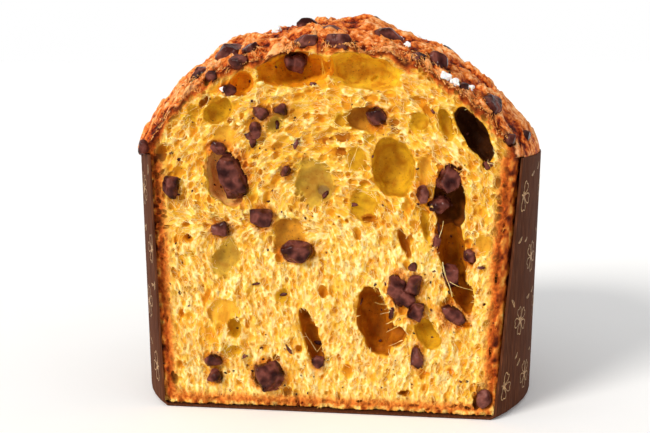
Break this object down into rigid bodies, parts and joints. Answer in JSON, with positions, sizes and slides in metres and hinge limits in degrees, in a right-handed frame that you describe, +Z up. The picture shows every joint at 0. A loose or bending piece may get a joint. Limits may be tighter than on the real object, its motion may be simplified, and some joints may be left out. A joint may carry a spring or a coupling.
{
  "type": "chocolate chunk panettone",
  "caption": "Tall domed sweet bread with chocolate chunks, part of it cut away upright to show the crumb, in a round paper mould.",
  "frame": {"origin": "middle of the paper mould's round base, on the surface that the mould stands on", "axes": "+Z up along the mould's axis, the cut face looks towards -Y, +X to the right as the cut face is looked at"},
  "size_m": [0.1753, 0.1398, 0.1626],
  "materials": {
    "bread": "open spongy crumb with a baked crust",
    "chocolate": "satin dark chocolate",
    "paper": "matt ribbed baking paper"
  },
  "bodies": {
    "root": {"loaf": "bread", "paper_case": "paper", "face_chunk_01": "chocolate", "face_chunk_02": "chocolate", "face_chunk_03": "chocolate", "face_chunk_04": "chocolate", "face_chunk_05": "chocolate", "face_chunk_06": "chocolate", "face_chunk_07": "chocolate", "face_chunk_08": "chocolate", "face_chunk_09": "chocolate", "face_chunk_10": "chocolate", "face_chunk_11": "chocolate", "face_chunk_12": "chocolate", "face_chunk_13": "chocolate", "face_chunk_14": "chocolate", "face_chunk_15": "chocolate", "face_chunk_16": "chocolate", "face_chunk_17": "chocolate", "face_chunk_18": "chocolate", "face_chunk_19": "chocolate", "face_chunk_20": "chocolate", "face_chunk_21": "chocolate", "face_chunk_22": "chocolate", "face_chunk_23": "chocolate", "face_chunk_24": "chocolate", "face_chunk_25": "chocolate", "face_chunk_26": "chocolate", "face_chunk_27": "chocolate", "face_chunk_28": "chocolate", "face_chunk_29": "chocolate", "dome_chunk_01": "chocolate", "dome_chunk_02": "chocolate", "dome_chunk_03": "chocolate", "dome_chunk_04": "chocolate", "dome_chunk_05": "chocolate", "dome_chunk_06": "chocolate", "dome_chunk_07": "chocolate", "dome_chunk_08": "chocolate", "dome_chunk_09": "chocolate", "dome_chunk_10": "chocolate", "dome_chunk_11": "chocolate", "dome_chunk_12": "chocolate", "dome_chunk_13": "chocolate", "dome_chunk_14": "chocolate", "dome_chunk_15": "chocolate", "dome_chunk_16": "chocolate", "dome_chunk_17": "chocolate", "dome_chunk_18": "chocolate", "dome_chunk_19": "chocolate", "dome_chunk_20": "chocolate", "dome_chunk_21": "chocolate", "dome_chunk_22": "chocolate", "dome_chunk_23": "chocolate", "dome_chunk_24": "chocolate", "dome_chunk_25": "chocolate", "dome_chunk_26": "chocolate", "dome_chunk_27": "chocolate", "dome_chunk_28": "chocolate", "dome_chunk_29": "chocolate"}
  },
  "joints": []
}
